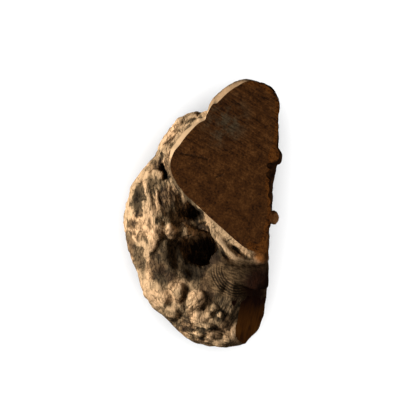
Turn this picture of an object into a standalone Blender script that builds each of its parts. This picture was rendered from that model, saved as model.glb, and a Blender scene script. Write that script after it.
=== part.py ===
"""A sawn piece of briar root: one gnarled burl with the stub of its trunk.

The root is grown first, as a field that is negative inside the wood and zero at its surface. It is then
sawn: across the trunk, which leaves the large dark face, down its lower right side, and flat underneath.

+X is right, +Y runs up the root towards the trunk's top edge, and +Z is up from the surface it lies on.
Lengths are in millimetres while the form is worked out, and become metres when a mesh is made.
"""

from itertools import product

import bpy
import numpy as np
from mathutils import Matrix, Vector, noise

METRES = 0.001
TAU = 2 * np.pi

# Driving dimensions
LENGTH = 200.0
WIDTH = 118.0
HEIGHT = 93.0

# The grid that the grown form is read on, and the share of its triangles that is kept
GRID_STEP = 2.4
GRID_MARGIN = 10.0
PINCH_FILL = 0.3
KEPT_SHARE = 0.3

# The burl's outline seen from above, with its upper right run hidden under the trunk
BURL_OUTLINE = [
    (50, 12), (52, 35), (46, 56), (28, 68), (12, 75), (-2, 76), (-13, 73), (-23, 66), (-30, 55),
    (-35, 43), (-43, 34), (-49, 24), (-55, 9), (-58, -5), (-56, -17), (-51, -35), (-46, -53),
    (-38.5, -66), (-27.5, -77), (-17, -88.5), (-8, -95.5), (8, -99.5), (27, -98.5), (37, -93), (45, -84),
    (49, -66), (50, -48), (48, -20), (50, -6),
]
BURL_CENTRE = (-2.0, -12.0)
EQUATOR_Z = 40.0
CROWN_HEIGHT = 37.0
BELLY_DEPTH = 41.5
BURL_SQUARENESS = 2.3

# The trunk: the outline of its saw cut seen from above, and the cut's plane
TRUNK_OUTLINE = [
    (7.5, 80), (14, 87), (22, 94), (30, 98), (37, 99), (46, 97), (53, 92), (57.5, 85), (57.5, 70),
    (56.5, 55), (53.5, 36), (50.5, 22), (51.5, 10), (51, -4), (49, -18), (46, -28), (38, -27),
    (29, -22), (14, -9), (0, 4), (-12, 15), (-20, 26), (-23, 36), (-20, 46), (-16, 54),
    (-10, 62), (-4, 68), (3, 72),
]
TRUNK_CENTRE = (25.0, 36.0)
CUT_CORNER = (-22.0, 36.0, 92.0)
CUT_NORMAL = (0.36, 0.17, 0.917)
SAW_ALLOWANCE = 7.0
TRUNK_TURN_IN_Z = 46.0
TRUNK_TURN_IN = 44.0
TRUNK_FLOOR_Z = 6.0

# How far the trunk's side stands out past its cut, by direction from its centre in degrees
FLARE_DEPTH = 11.0
FLARE = [
    (-178, 0), (-165, -2), (-140, -3), (-124, -1), (-114, 6), (-78, 6), (-70, 1), (-55, 0),
    (0, 0.5), (45, 0), (62, 0.5), (85, 2), (108, 3.2), (115, 1.5), (120, -1), (124, 0.5),
    (138, 4), (165, 5.5), (176, 4),
]

# Rolls of wood that grew round the trunk's foot. By direction from the trunk's centre in degrees: how
# far out from the cut's outline, how far down from the cut, and the radius.
LIP_ROLL = [
    (-180, 0, 3.0, -1), (-172, 0, 3.2, 1.8), (-140, 0, 3.4, 2.6), (-118, 0, 3.6, 3.2),
    (-102, 0, 3.8, 3.0), (-80, 0, 3.8, 3.4), (-60, 0, 3.8, 2), (-50, 0, 3.8, -1),
]
LOWER_ROLL = [
    (-130, 0, 6, -1), (-122, 2, 7, 2.6), (-114, 4, 8, 3.4), (-104, 8.6, 10, 3.4),
    (-88, 9, 10, 3.4), (-78, 6, 9, 3.6), (-58, 5, 9, -1),
]
NECK_ROLL = [
    (-128, 12, 22, -2), (-116, 14, 22, 8), (-98, 17, 23, 11.5), (-72, 17, 23, 11), (-56, 14, 22, -2),
]
ROLLS = [LIP_ROLL, LOWER_ROLL, NECK_ROLL]
ROLL_BLEND = 2.4
ROLLS_RIGHT_X = 50.0
ROLLS_RIGHT_BLEND = 3.0
FOOT_BLEND = 5.0

# Hollows in the burl before the trunk joins it: centre, radii, turn and lean in degrees, edge softness
BURL_HOLLOWS = [
    ((-3, -21, 90), (32, 36, 35), 0, 0, 14),
    ((-18, 22, 86), (9, 26, 20), 38, 0, 8),
]
# Hollows under the trunk's lip
LIP_HOLLOWS = [
    ((1, -25, 54), (15, 14, 27), 20, 8, 4),
    ((-8, 5, 66), (8, 12, 20), 40, 14, 3),
    ((-27.5, 37, 70), (2.6, 9, 14), 12, 0, 2),
]
# The web of wood between the two larger hollows
WEB = ((-10, -9, 54), (15, 4.5, 9), 12, 0)
WEB_BLEND = 6.0
# The bark nub and a bump on the right edge
NUBS = [((53.7, -2.6, 60.0), (3.4, 5.0, 4.2)), ((54.0, 43.5, 50.0), (4.0, 5.5, 8.0))]
NUB_BLEND = 1.0

# The saw cut down the lower right side. The burl ends a little outside it.
SIDE_CORNER = (27.0, -71.0, 62.0)
SIDE_NORMAL = (0.80, -0.19, 0.57)
SIDE_TOP_Y = -62.0
SIDE_WASTE = 0.7
SIDE_BLEND = 3.0
SIDE_LENGTH = 60.0
SAW_LENGTH = 400.0
SAW_DEPTH = 40.0

# Warts on the front: place, half width, half length, turn in degrees, height
WARTS = [
    (-4.7, -64, 6.0, 9.5, -22, 5.0),
    (-17, -59, 4.8, 7.5, -10, 3.5),
    (-22, -75, 5.0, 5.5, 0, 3.0),
    (-2.7, -79, 4.2, 5.0, 0, 3.5),
    (4, -77, 3.6, 3.2, 0, 2.4),
    (3.5, -84, 6.5, 2.8, -10, 2.8),
    (10, -71, 3.0, 3.2, 0, 3.0),
    (14.2, -75.4, 2.6, 2.4, 0, 2.6),
    (-2.3, -90, 3.8, 2.8, 0, 1.8),
    (9, -91, 5.5, 2.8, -5, 1.8),
    (-22, -13, 4.8, 6.0, 30, 3.4),
    (-11, -13, 2.6, 3.6, 0, 2.0),
    (-32, 28, 4.4, 4.6, 0, 3.5),
    (-37, -58, 8.0, 9.0, 0, 1.8),
    (-29, -65, 6.0, 6.0, 0, 1.8),
    (-32, -11, 4.4, 7.0, 10, 2.0),
]
# Ridges and, where the height is negative, clefts on the front: points, half width, height
RIDGES = [
    ([(-38, 30), (-40.5, 20), (-38, 10), (-37, 3), (-33, -6)], 2.6, 3.4),
    ([(-33, 16), (-32, 8), (-30, 0)], 2.2, 2.4),
    ([(-44, 10), (-41, -2), (-38, -10), (-32, -18)], 2.6, 3.2),
    ([(-48, 18), (-50, 4), (-47, -8)], 2.6, 2.2),
    ([(-46, 14), (-47, 4)], 2.4, -2.6),
    ([(-26, 37), (-25, 48), (-20.6, 56.5), (-12, 65), (-4, 69.5)], 1.8, -2.5),
    ([(-30, 45), (-25, 58.5), (-16, 68), (-4, 72.5)], 2.4, 2.2),
    ([(-42, -14), (-43, -28), (-38, -36)], 3.6, -1.6),
    ([(20, -52), (14, -64), (7, -80)], 2.4, -1.2),
    ([(-12, -66), (-14, -82)], 2.2, -1.6),
]

# Swelling, long ridges and lumps of bark: height, and size along X, Y and Z
SWELL = (2.0, (26, 34, 26))
GRAIN = (4.0, (8, 26, 8))
LUMPS = (2.8, (11, 13, 11))

# The bark is calm at the saw cut and goes free with depth below it, later on the pale upper left wall
# than on the right side. It is calm too at the neck, in the hollows and where the root rests.
FREE_BELOW_CUT = (7.0, 24.0)
FREE_BELOW_RIGHT_CUT = (2.0, 8.0)
RIGHT_SIDE_X = (30.0, 48.0)
RIGHT_SIDE_Y = (-24.0, -8.0)
NECK_PLACE = (32.0, -38.0)
NECK_HALF_SIZE = (24.0, 18.0)
FREE_FROM_NECK = (0.6, 1.2)
FREE_FROM_HOLLOW = (0.0, 6.0)
FREE_FROM_REST = (2.0, 14.0)
LOWER_END = (30.0, 0.0)

WOOD_COLOUR = (0.42, 0.27, 0.15, 1.0)
WOOD_ROUGHNESS = 0.8


def unit(vector):
    """The vector with length 1."""
    return np.array(vector, float) / np.linalg.norm(vector)


def smooth_step(start, end, value):
    """0 before start, 1 past end, and a soft rise between them."""
    t = np.clip((value - start) / (end - start), 0, 1)
    return t * t * (3 - 2 * t)


def smooth_union(a, b, blend):
    """The union of two fields, with a fillet about a quarter of blend deep where they meet."""
    share = np.clip(0.5 + 0.5 * (b - a) / blend, 0, 1)
    return b + (a - b) * share - blend * share * (1 - share)


def smooth_cut(a, b, blend):
    """Field a with field b taken out of it, and a rounded edge."""
    return -smooth_union(-a, b, blend)


def closed_curve(points, steps=6):
    """A smooth closed curve through the points, as a dense list of them."""
    p = np.array(points, float)
    before, after, beyond = (np.roll(p, shift, axis=0) for shift in (1, -1, -2))
    t = np.arange(steps)[None, :, None] / steps
    p, before, after, beyond = (q[:, None, :] for q in (p, before, after, beyond))
    bend = 2 * before - 5 * p + 4 * after - beyond
    twist = 3 * p - before - 3 * after + beyond
    curve = p + 0.5 * (t * (after - before) + t**2 * bend + t**3 * twist)
    return curve.reshape(-1, 2)


def distance_to_line(x, y, a, b):
    """Distance in the XY plane to the straight line from a to b."""
    dx, dy = b[0] - a[0], b[1] - a[1]
    along = np.clip(((x - a[0]) * dx + (y - a[1]) * dy) / (dx * dx + dy * dy), 0, 1)
    return np.hypot(x - a[0] - along * dx, y - a[1] - along * dy)


def distance_to_outline(curve, x, y):
    """Distance in the XY plane to a closed curve, negative inside it."""
    x, y = np.broadcast_arrays(x, y)
    nearest = np.full(x.shape, np.inf)
    inside = np.zeros(x.shape, bool)
    for a, b in zip(curve, np.roll(curve, -1, axis=0)):
        nearest = np.minimum(nearest, distance_to_line(x, y, a, b))
        if a[1] != b[1]:
            side = x < a[0] + (b[0] - a[0]) * (y - a[1]) / (b[1] - a[1])
            inside ^= ((a[1] > y) != (b[1] > y)) & side
    return np.where(inside, -nearest, nearest)


def ellipsoid(x, y, z, centre, radii, turn=0.0, lean=0.0):
    """Field of an ellipsoid, turned about Z and then with its top leaned towards its own +X, in degrees."""
    x, y, z = x - centre[0], y - centre[1], z - centre[2]
    c, s = np.cos(np.radians(turn)), np.sin(np.radians(turn))
    x, y = c * x + s * y, c * y - s * x
    c, s = np.cos(np.radians(lean)), np.sin(np.radians(lean))
    x, z = c * x - s * z, c * z + s * x
    reach = np.sqrt(x**2 + y**2 + z**2)
    gauge = np.sqrt((x / radii[0]) ** 2 + (y / radii[1]) ** 2 + (z / radii[2]) ** 2)
    return reach * (1 - 1 / np.maximum(gauge, 1e-6))


def above_plane(x, y, z, corner, normal):
    """Distance in front of a plane."""
    return sum(n * (q - c) for n, q, c in zip(unit(normal), (x, y, z), corner))


def by_direction(table, angle):
    """The values of the table's columns in that direction, in degrees."""
    angles, *columns = np.array(table, float).T
    return [np.interp(angle, angles, column, period=360) for column in columns]


BURL_CURVE = closed_curve(BURL_OUTLINE)
TRUNK_CURVE = closed_curve(TRUNK_OUTLINE)


def burl(x, y, z):
    """The burl's rounded mass, with its broad hollows."""
    dx, dy, dz = x - BURL_CENTRE[0], y - BURL_CENTRE[1], z - EQUATOR_Z
    curve = BURL_CURVE - BURL_CENTRE
    angles = np.arctan2(curve[:, 1], curve[:, 0])
    radius = np.interp(np.arctan2(dy, dx), angles, np.hypot(*curve.T), period=TAU)
    half = np.where(dz > 0, CROWN_HEIGHT, BELLY_DEPTH)
    p = BURL_SQUARENESS
    gauge = ((np.hypot(dx, dy) / radius) ** p + np.abs(dz / half) ** p) ** (1 / p)
    field = np.sqrt(dx**2 + dy**2 + dz**2) * (1 - 1 / np.maximum(gauge, 1e-6))
    for centre, radii, turn, lean, blend in BURL_HOLLOWS:
        field = smooth_cut(field, ellipsoid(x, y, z, centre, radii, turn, lean), blend)
    past_side = above_plane(x, y, z, SIDE_CORNER, SIDE_NORMAL) - SIDE_WASTE
    return smooth_cut(field, -past_side, SIDE_BLEND)


def trunk(x, y, z):
    """The trunk's stub, standing under the outline of its cut and rounding in underneath."""
    out = distance_to_outline(TRUNK_CURVE, x, y)
    depth = -above_plane(x, y, z, CUT_CORNER, CUT_NORMAL)
    angle = np.degrees(np.arctan2(y - TRUNK_CENTRE[1], x - TRUNK_CENTRE[0]))
    flare = by_direction(FLARE, angle)[0] * smooth_step(0, FLARE_DEPTH, depth)
    inset = TRUNK_TURN_IN * np.clip((TRUNK_TURN_IN_Z - z) / TRUNK_TURN_IN_Z, 0, 1) ** 1.7
    ends = np.maximum(-depth - SAW_ALLOWANCE, TRUNK_FLOOR_Z - z)
    field = np.maximum(out - flare + inset, ends)
    for table in ROLLS:
        roll_out, roll_down, radius = by_direction(table, angle)
        roll = np.hypot(out - roll_out, depth - roll_down) - radius
        roll = smooth_cut(roll, ROLLS_RIGHT_X - x, ROLLS_RIGHT_BLEND)
        field = smooth_union(field, roll, ROLL_BLEND)
    return field


def grown(x, y, z):
    """The whole root before it is sawn: negative inside the wood."""
    field = smooth_union(burl(x, y, z), trunk(x, y, z), FOOT_BLEND)
    for centre, radii, turn, lean, blend in LIP_HOLLOWS:
        field = smooth_cut(field, ellipsoid(x, y, z, centre, radii, turn, lean), blend)
    field = smooth_union(field, ellipsoid(x, y, z, *WEB), WEB_BLEND)
    for centre, radii in NUBS:
        field = smooth_union(field, ellipsoid(x, y, z, centre, radii), NUB_BLEND)
    return field


def fill_pinches(value):
    """Fill grid points until the wood nowhere meets itself along a mere edge or at a mere corner."""
    halves = (slice(None, -1), slice(1, None))
    corners = [tuple(halves[k] for k in corner) for corner in product((0, 1), repeat=3)]
    while True:
        inside = value < 0
        pinched = np.zeros(value.shape, bool)
        for first, second in ((0, 1), (0, 2), (1, 2)):
            square = []
            for i, j in product((0, 1), repeat=2):
                place = [slice(None)] * 3
                place[first], place[second] = halves[i], halves[j]
                square.append(tuple(place))
            a, b, c, d = (inside[place] for place in square)
            for place in square:
                pinched[place] |= (a == d) & (b == c) & (a != b)
        count = sum(inside[corner].astype(int) for corner in corners)
        for corner, opposite in zip(corners[:4], corners[::-1]):
            wood_only = (count == 2) & inside[corner] & inside[opposite]
            gap_only = (count == 6) & ~inside[corner] & ~inside[opposite]
            for place in corners:
                pinched[place] |= wood_only | gap_only
        pinched &= ~inside
        if not pinched.any():
            return value
        value[pinched] = -PINCH_FILL


def surface_net(field, low, high, step):
    """Points and quads where the field is zero: one point in each grid cell that the surface crosses."""
    axes = [np.arange(a, b + step, step) for a, b in zip(low, high)]
    value = fill_pinches(field(*np.meshgrid(*axes, indexing="ij", sparse=True)))
    cells = [n - 1 for n in value.shape]
    total = np.zeros(cells + [3])
    count = np.zeros(cells)
    rings = []
    for axis in range(3):
        near = [slice(None)] * 3
        far = [slice(None)] * 3
        near[axis], far[axis] = slice(None, -1), slice(1, None)
        start, end = value[tuple(near)], value[tuple(far)]
        crossed = np.argwhere((start < 0) != (end < 0))
        start, end = start[tuple(crossed.T)], end[tuple(crossed.T)]
        point = crossed.astype(float)
        point[:, axis] += start / (start - end)
        first, second = (k for k in range(3) if k != axis)
        ring = []
        for step_first, step_second in ((0, 0), (-1, 0), (-1, -1), (0, -1)):
            cell = crossed.copy()
            cell[:, first] += step_first
            cell[:, second] += step_second
            np.add.at(total, tuple(cell.T), point)
            np.add.at(count, tuple(cell.T), 1)
            ring.append(cell)
        ring = np.stack(ring, axis=1)
        backward = (start < 0) ^ (axis == 1)
        ring[backward] = ring[backward, ::-1]
        rings.append(ring)
    used = count > 0
    index = np.full(cells, -1)
    index[used] = np.arange(used.sum())
    points = np.array(low) + step * total[used] / count[used][:, None]
    return points, index[tuple(np.moveaxis(np.concatenate(rings), -1, 0))]


def outward(field, points, reach=2.0):
    """The direction straight out of the surface at each point."""
    slope = np.empty_like(points)
    for axis in range(3):
        offset = np.zeros(3)
        offset[axis] = reach
        slope[:, axis] = field(*(points + offset).T) - field(*(points - offset).T)
    return slope / np.maximum(np.linalg.norm(slope, axis=1, keepdims=True), 1e-9)


def noise_at(points, scale, seed):
    """Soft noise from about -1 to 1 at each point, with lumps of that size in each direction."""
    shift = Vector((seed * 17.3, seed * 5.7, seed * 11.9))
    return np.array([noise.noise(Vector(p) + shift) for p in points / np.array(scale)])


def warts_at(x, y):
    """Height of the listed warts at a place seen from above."""
    height = np.zeros_like(x)
    for wart_x, wart_y, half_width, half_length, turn, rise in WARTS:
        c, s = np.cos(np.radians(turn)), np.sin(np.radians(turn))
        across = (c * (x - wart_x) + s * (y - wart_y)) / half_width
        along = (c * (y - wart_y) - s * (x - wart_x)) / half_length
        height += rise * (1 - smooth_step(0.35, 1.25, np.hypot(across, along)))
    return height


def ridges_at(x, y):
    """Height of the listed ridges and clefts at a place seen from above."""
    height = np.zeros_like(x)
    for line, half_width, rise in RIDGES:
        away = np.min([distance_to_line(x, y, a, b) for a, b in zip(line, line[1:])], axis=0)
        height += rise * np.exp(-((away / half_width) ** 2))
    return height


def right_side(points):
    """1 on the trunk's right side, 0 elsewhere."""
    return smooth_step(*RIGHT_SIDE_X, points[:, 0]) * smooth_step(*RIGHT_SIDE_Y, points[:, 1])


def bark_freedom(points):
    """How gnarled the bark is at each point, from 0 to 1."""
    x, y, z = points.T
    below_cut = -above_plane(x, y, z, CUT_CORNER, CUT_NORMAL)
    right = right_side(points)
    free = smooth_step(*FREE_BELOW_CUT, below_cut) * (1 - right)
    free += smooth_step(*FREE_BELOW_RIGHT_CUT, below_cut) * right
    from_neck = [(q - c) / half for q, c, half in zip((x, y), NECK_PLACE, NECK_HALF_SIZE)]
    free *= smooth_step(*FREE_FROM_NECK, np.hypot(*from_neck))
    for centre, radii, turn, lean, _ in LIP_HOLLOWS:
        free *= smooth_step(*FREE_FROM_HOLLOW, ellipsoid(x, y, z, centre, radii, turn, lean))
    return free * smooth_step(*FREE_FROM_REST, z)


def relief(points, normals):
    """How far the gnarled surface stands out past the grown form."""
    x, y, z = points.T
    facing_up = smooth_step(-0.1, 0.35, normals[:, 2])
    listed = (warts_at(x, y) + ridges_at(x, y)) * facing_up
    swell, grain, lumps = (rise * noise_at(points, size, seed)
                           for seed, (rise, size) in enumerate((SWELL, GRAIN, LUMPS), 1))
    grain *= 0.5 + 0.5 * np.abs(normals[:, 2])
    lumpy = np.maximum(right_side(points), smooth_step(*LOWER_END, y + z))
    lumps = np.maximum(lumps, 0) * lumpy * (1 - 0.4 * facing_up)
    return listed + bark_freedom(points) * (swell + grain + lumps)


def mesh_object(name, points, faces):
    """An object of that mesh, with its points given in millimetres."""
    mesh = bpy.data.meshes.new(name)
    mesh.from_pydata((np.asarray(points) * METRES).tolist(), [], np.asarray(faces).tolist())
    made = bpy.data.objects.new(name, mesh)
    bpy.context.scene.collection.objects.link(made)
    return made


def saw_block(name, corner, normal, length=SAW_LENGTH, start=-SAW_LENGTH / 2):
    """A block that fills the space in front of the saw's plane, over that length from start along the cut."""
    xs, ys, zs = (-SAW_LENGTH / 2, SAW_LENGTH / 2), (start, start + length), (0, SAW_DEPTH)
    corners = list(product(xs, ys, zs))
    faces = [(0, 1, 3, 2), (4, 6, 7, 5), (0, 4, 5, 1), (2, 3, 7, 6), (0, 2, 6, 4), (1, 5, 7, 3)]
    block = mesh_object(name, corners, faces)
    out = Vector(normal).normalized()
    along = (Vector((0, 1, 0)) - out * out.y).normalized()
    turn = Matrix((along.cross(out), along, out)).transposed()
    block.matrix_world = Matrix.Translation(Vector(corner) * METRES) @ turn.to_4x4()
    block.hide_render = True
    block.display_type = "WIRE"
    return block


def saw(piece, block):
    """Take the block away from the piece."""
    cut = piece.modifiers.new(block.name, "BOOLEAN")
    cut.operation = "DIFFERENCE"
    cut.solver = "EXACT"
    cut.object = block


def wood():
    """Dry brown wood."""
    made = bpy.data.materials.new("briar_wood")
    made.use_nodes = True
    shader = made.node_tree.nodes["Principled BSDF"]
    shader.inputs["Base Color"].default_value = WOOD_COLOUR
    shader.inputs["Roughness"].default_value = WOOD_ROUGHNESS
    return made


def grow_root():
    """The gnarled root before it is sawn."""
    half = np.array([WIDTH / 2, LENGTH / 2])
    low = (*(-half - GRID_MARGIN), -GRID_MARGIN)
    high = (*(half + GRID_MARGIN), HEIGHT + GRID_MARGIN)
    points, quads = surface_net(grown, low, high, GRID_STEP)
    normals = outward(grown, points)
    points += normals * relief(points, normals)[:, None]
    root = mesh_object("briar_root", points, quads)
    root.data.materials.append(wood())
    root.data.shade_smooth()
    root.data.set_sharp_from_angle(angle=np.radians(50))
    thin = root.modifiers.new("kept_faces", "DECIMATE")
    thin.ratio = KEPT_SHARE
    return root


def main():
    for old in list(bpy.data.objects):
        bpy.data.objects.remove(old)
    root = grow_root()
    saw(root, saw_block("trunk_cut", CUT_CORNER, CUT_NORMAL))
    side_end = SIDE_TOP_Y - SIDE_CORNER[1]
    saw(root, saw_block("side_cut", SIDE_CORNER, SIDE_NORMAL, SIDE_LENGTH, side_end - SIDE_LENGTH))
    saw(root, saw_block("rest_cut", (0, 0, 0), (0, 0, -1)))


main()
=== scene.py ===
"""A sawn briar root on a pale floor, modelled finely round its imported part.

The root is read off the same field as the part, on a finer grid, with smaller wrinkles, folds and lumps.
Lengths are in millimetres while the form is worked out, and become metres when the mesh is made.
"""

from itertools import product

import bpy
import numpy as np
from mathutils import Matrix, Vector, noise


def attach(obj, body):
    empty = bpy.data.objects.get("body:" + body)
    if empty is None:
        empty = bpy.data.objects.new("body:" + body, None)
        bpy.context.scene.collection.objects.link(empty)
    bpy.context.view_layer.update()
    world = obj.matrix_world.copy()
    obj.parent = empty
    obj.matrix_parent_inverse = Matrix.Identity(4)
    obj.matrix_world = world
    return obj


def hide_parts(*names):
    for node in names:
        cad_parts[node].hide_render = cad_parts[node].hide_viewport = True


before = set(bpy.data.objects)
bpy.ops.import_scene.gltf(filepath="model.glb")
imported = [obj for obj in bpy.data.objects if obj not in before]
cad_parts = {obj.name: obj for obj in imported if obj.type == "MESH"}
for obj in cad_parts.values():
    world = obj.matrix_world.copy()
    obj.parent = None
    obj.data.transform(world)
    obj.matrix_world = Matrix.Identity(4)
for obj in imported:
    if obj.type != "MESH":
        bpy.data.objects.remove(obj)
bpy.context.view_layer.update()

METRES = 0.001
TAU = 2 * np.pi
LENGTH = 200.0
WIDTH = 118.0
HEIGHT = 93.0
GRID_STEP = 1.02
GRID_MARGIN = 8.0
# The burl's outline seen from above, with its upper right run hidden under the trunk
BURL_OUTLINE = [
    (50, 12), (52, 35), (46, 56), (28, 68), (12, 75), (-2, 76), (-13, 73), (-23, 66), (-30, 55),
    (-35, 43), (-43, 34), (-49, 24), (-55, 9), (-58, -5), (-56, -17), (-51, -35), (-46, -53),
    (-38.5, -66), (-27.5, -77), (-17, -88.5), (-8, -95.5), (8, -99.5), (27, -98.5), (37, -93), (45, -84),
    (49, -66), (50, -48), (48, -20), (50, -6),
]
BURL_CENTRE = (-2.0, -12.0)
EQUATOR_Z = 40.0
CROWN_HEIGHT = 37.0
BELLY_DEPTH = 41.5
BURL_SQUARENESS = 2.3

# The trunk: the outline of its saw cut seen from above, and the cut's plane
TRUNK_OUTLINE = [
    (7.5, 80), (14, 87), (22, 94), (30, 98), (37, 99), (46, 97), (53, 92), (57.5, 85), (57.5, 70),
    (56.5, 55), (53.5, 36), (50.5, 22), (51.5, 10), (51, -4), (49, -18), (46, -28), (38, -27),
    (29, -22), (14, -9), (0, 4), (-12, 15), (-20, 26), (-23, 36), (-20, 46), (-16, 54),
    (-10, 62), (-4, 68), (3, 72),
]
TRUNK_CENTRE = (25.0, 36.0)
CUT_CORNER = (-22.0, 36.0, 92.0)
CUT_NORMAL = (0.36, 0.17, 0.917)
SAW_ALLOWANCE = 7.0
TRUNK_TURN_IN_Z = 46.0
TRUNK_TURN_IN = 44.0
TRUNK_TURN_IN_POWER = 1.7
TRUNK_FLOOR_Z = 6.0

# How far the trunk's side stands out past its cut, by direction from its centre in degrees
FLARE_DEPTH = 11.0
FLARE = [
    (-178, 0), (-165, -2), (-140, -3), (-124, -1), (-114, 6), (-78, 6), (-70, 1), (-55, 0),
    (0, 0.5), (45, 0), (62, 0.5), (85, 2), (108, 3.2), (115, 1.5), (120, -1), (124, 0.5),
    (138, 4), (165, 5.5), (176, 4),
]

# Rolls of wood that grew round the trunk's foot. By direction from the trunk's centre in degrees: how
# far out from the cut's outline, how far down from the cut, and the radius
LIP_ROLL = [
    (-180, 0, 3.0, -1), (-172, 0, 3.2, 1.8), (-140, 0, 3.4, 2.6), (-118, 0, 3.6, 3.2),
    (-102, 0, 3.8, 3.0), (-80, 0, 3.8, 3.4), (-60, 0, 3.8, 2), (-50, 0, 3.8, -1),
]
LOWER_ROLL = [
    (-130, 0, 6, -1), (-122, 2, 7, 2.6), (-114, 4, 8, 3.4), (-104, 8.6, 10, 3.4),
    (-88, 9, 10, 3.4), (-78, 6, 9, 3.6), (-58, 5, 9, -1),
]
NECK_ROLL = [
    (-128, 12, 22, -2), (-116, 14, 22, 8), (-98, 17, 23, 11.5), (-72, 17, 23, 11), (-56, 14, 22, -2),
]
ROLLS = [LIP_ROLL, LOWER_ROLL, NECK_ROLL]
ROLL_BLEND = 2.4
ROLLS_RIGHT_X = 50.0
ROLLS_RIGHT_BLEND = 3.0
FOOT_BLEND = 5.0

# Hollows in the burl before the trunk joins it: centre, radii, turn and lean in degrees, edge softness
BURL_HOLLOWS = [
    ((-3, -21, 90), (32, 36, 35), 0, 0, 14),
    ((-18, 22, 86), (9, 26, 20), 38, 0, 8),
]
# Hollows under the trunk's lip
LIP_HOLLOWS = [
    ((1, -25, 54), (15, 14, 27), 20, 8, 4),
    ((-8, 5, 66), (8, 12, 20), 40, 14, 3),
    ((-28.4, 33.5, 70), (1.3, 8, 14), 15, 0, 1.2),
]
# The web of wood between the two larger hollows
WEB = ((-10, -9, 54), (15, 4.5, 9), 12, 0)
WEB_BLEND = 6.0
# The bark nub and a bump on the right edge
NUBS = [((53.9, -2.6, 63.0), (3.4, 5.0, 5.0)), ((53.5, 43.5, 56.0), (5.0, 6.5, 9.0))]
NUB_BLEND = 1.0

# The saw cut down the lower right side. The burl ends a little outside it.
SIDE_CORNER = (27.0, -71.0, 62.0)
SIDE_NORMAL = (0.80, -0.19, 0.57)
SIDE_TOP_Y = -62.0
SIDE_WASTE = 0.7
SIDE_BLEND = 3.0

# Warts on the front: place, half width, half length, turn in degrees, height
WARTS = [
    (-4.7, -65, 7.0, 9.5, -22, 2.8),
    (-17, -59, 4.8, 7.5, -10, 2.5),
    (-22, -75, 5.0, 5.5, 0, 3.0),
    (-1.5, -78.5, 6.2, 6.2, 0, 1.7),
    (5.2, -76.2, 3.0, 2.8, 0, 1.8),
    (3.5, -84, 6.5, 2.8, -10, 2.8),
    (10, -71, 3.0, 3.2, 0, 3.0),
    (14.2, -75.4, 2.6, 2.4, 0, 2.6),
    (-2.3, -90, 3.8, 2.8, 0, 1.8),
    (9, -91, 5.5, 2.8, -5, 1.8),
    (-22, -13, 3.8, 7.8, 35, 2.6),
    (-11, -13, 2.6, 3.6, 0, 2.0),
    (-32, 28, 4.4, 4.6, 0, 3.5),
    (-37, -58, 8.0, 9.0, 0, 1.8),
    (-29, -65, 6.0, 6.0, 0, 1.8),
    (-32, -11, 4.4, 7.0, 10, 1.0),
]
# Ridges and, where the height is negative, clefts on the front: points, half width, height
RIDGES = [
    ([(-38, 30), (-40.5, 20), (-38, 10), (-37, 3), (-33, -6)], 3.0, 2.2),
    ([(-33, 16), (-32, 8), (-30, 0)], 2.2, 2.4),
    ([(-44, 10), (-41, -2), (-38, -10), (-32, -18)], 2.6, 3.2),
    ([(-48, 18), (-50, 4), (-47, -8)], 2.6, 2.2),
    ([(-46, 14), (-47, 4)], 2.4, -2.6),
    ([(-26, 37), (-25, 48), (-20.6, 56.5), (-12, 65), (-4, 69.5)], 1.8, -2.5),
    ([(-28.5, 44.5), (-23.5, 57.5), (-15, 66.5), (-3.5, 71)], 2.4, 1.6),
    ([(-42, -14), (-43, -28), (-38, -36)], 3.6, -1.6),
    ([(20, -52), (14, -64), (7, -80)], 2.4, -1.2),
    ([(-12, -66), (-14, -82)], 2.2, -1.6),
]

# How far from a wart's middle, where 1 is its edge, its dome starts to fall and ends, and the middle and
# width of the crease round it
DOME_FALL = (0.45, 1.15)
CREASE_MIDDLE = 1.2
CREASE_WIDTH = 0.16
CREASE_DEPTH = 0.7

# Swelling, long ridges and lumps of bark. Each layer of noise: height, size along X, Y and Z, and seed
SWELL = (2.0, (26, 34, 26), 1)
GRAIN = (4.0, (8, 26, 8), 2)
LUMPS = (2.8, (11, 13, 11), 3)
GRAIN_ON_SIDES = 0.5
LUMPS_LOST_ON_TOP = 0.4
# How far a surface faces up, from 0, upright, to 1, level, where the front's forms start and are whole
FACES_UP = (-0.1, 0.35)

# The bark is calm at the saw cut and goes free with depth below it, later on the pale upper left wall
# than on the right side. It is calm too at the neck, in the hollows and where the root rests.
FREE_BELOW_CUT = (7.0, 24.0)
FREE_BELOW_RIGHT_CUT = (2.0, 8.0)
RIGHT_SIDE_X = (30.0, 48.0)
RIGHT_SIDE_Y = (-24.0, -8.0)
NECK_PLACE = (32.0, -38.0)
NECK_HALF_SIZE = (24.0, 18.0)
FREE_FROM_NECK = (0.6, 1.2)
FREE_FROM_HOLLOW = (0.0, 6.0)
FREE_FROM_REST = (2.0, 14.0)
LOWER_END = (30.0, 0.0)
# How far apart in the noise two neighbouring seeds read it
SEED_SHIFT = (17.3, 5.7, 11.9)
TINY = 1e-6


def unit(vector):
    """The vector with length 1."""
    return np.array(vector, float) / np.linalg.norm(vector)


def smooth_step(start, end, value):
    """0 before start, 1 past end, and a soft rise between them."""
    t = np.clip((value - start) / (end - start), 0, 1)
    return t * t * (3 - 2 * t)


def smooth_union(a, b, blend):
    """The union of two fields, with a fillet about a quarter of blend deep where they meet."""
    share = np.clip(0.5 + 0.5 * (b - a) / blend, 0, 1)
    return b + (a - b) * share - blend * share * (1 - share)


def smooth_cut(a, b, blend):
    """Field a with field b taken out of it, and a rounded edge."""
    return -smooth_union(-a, b, blend)


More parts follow.
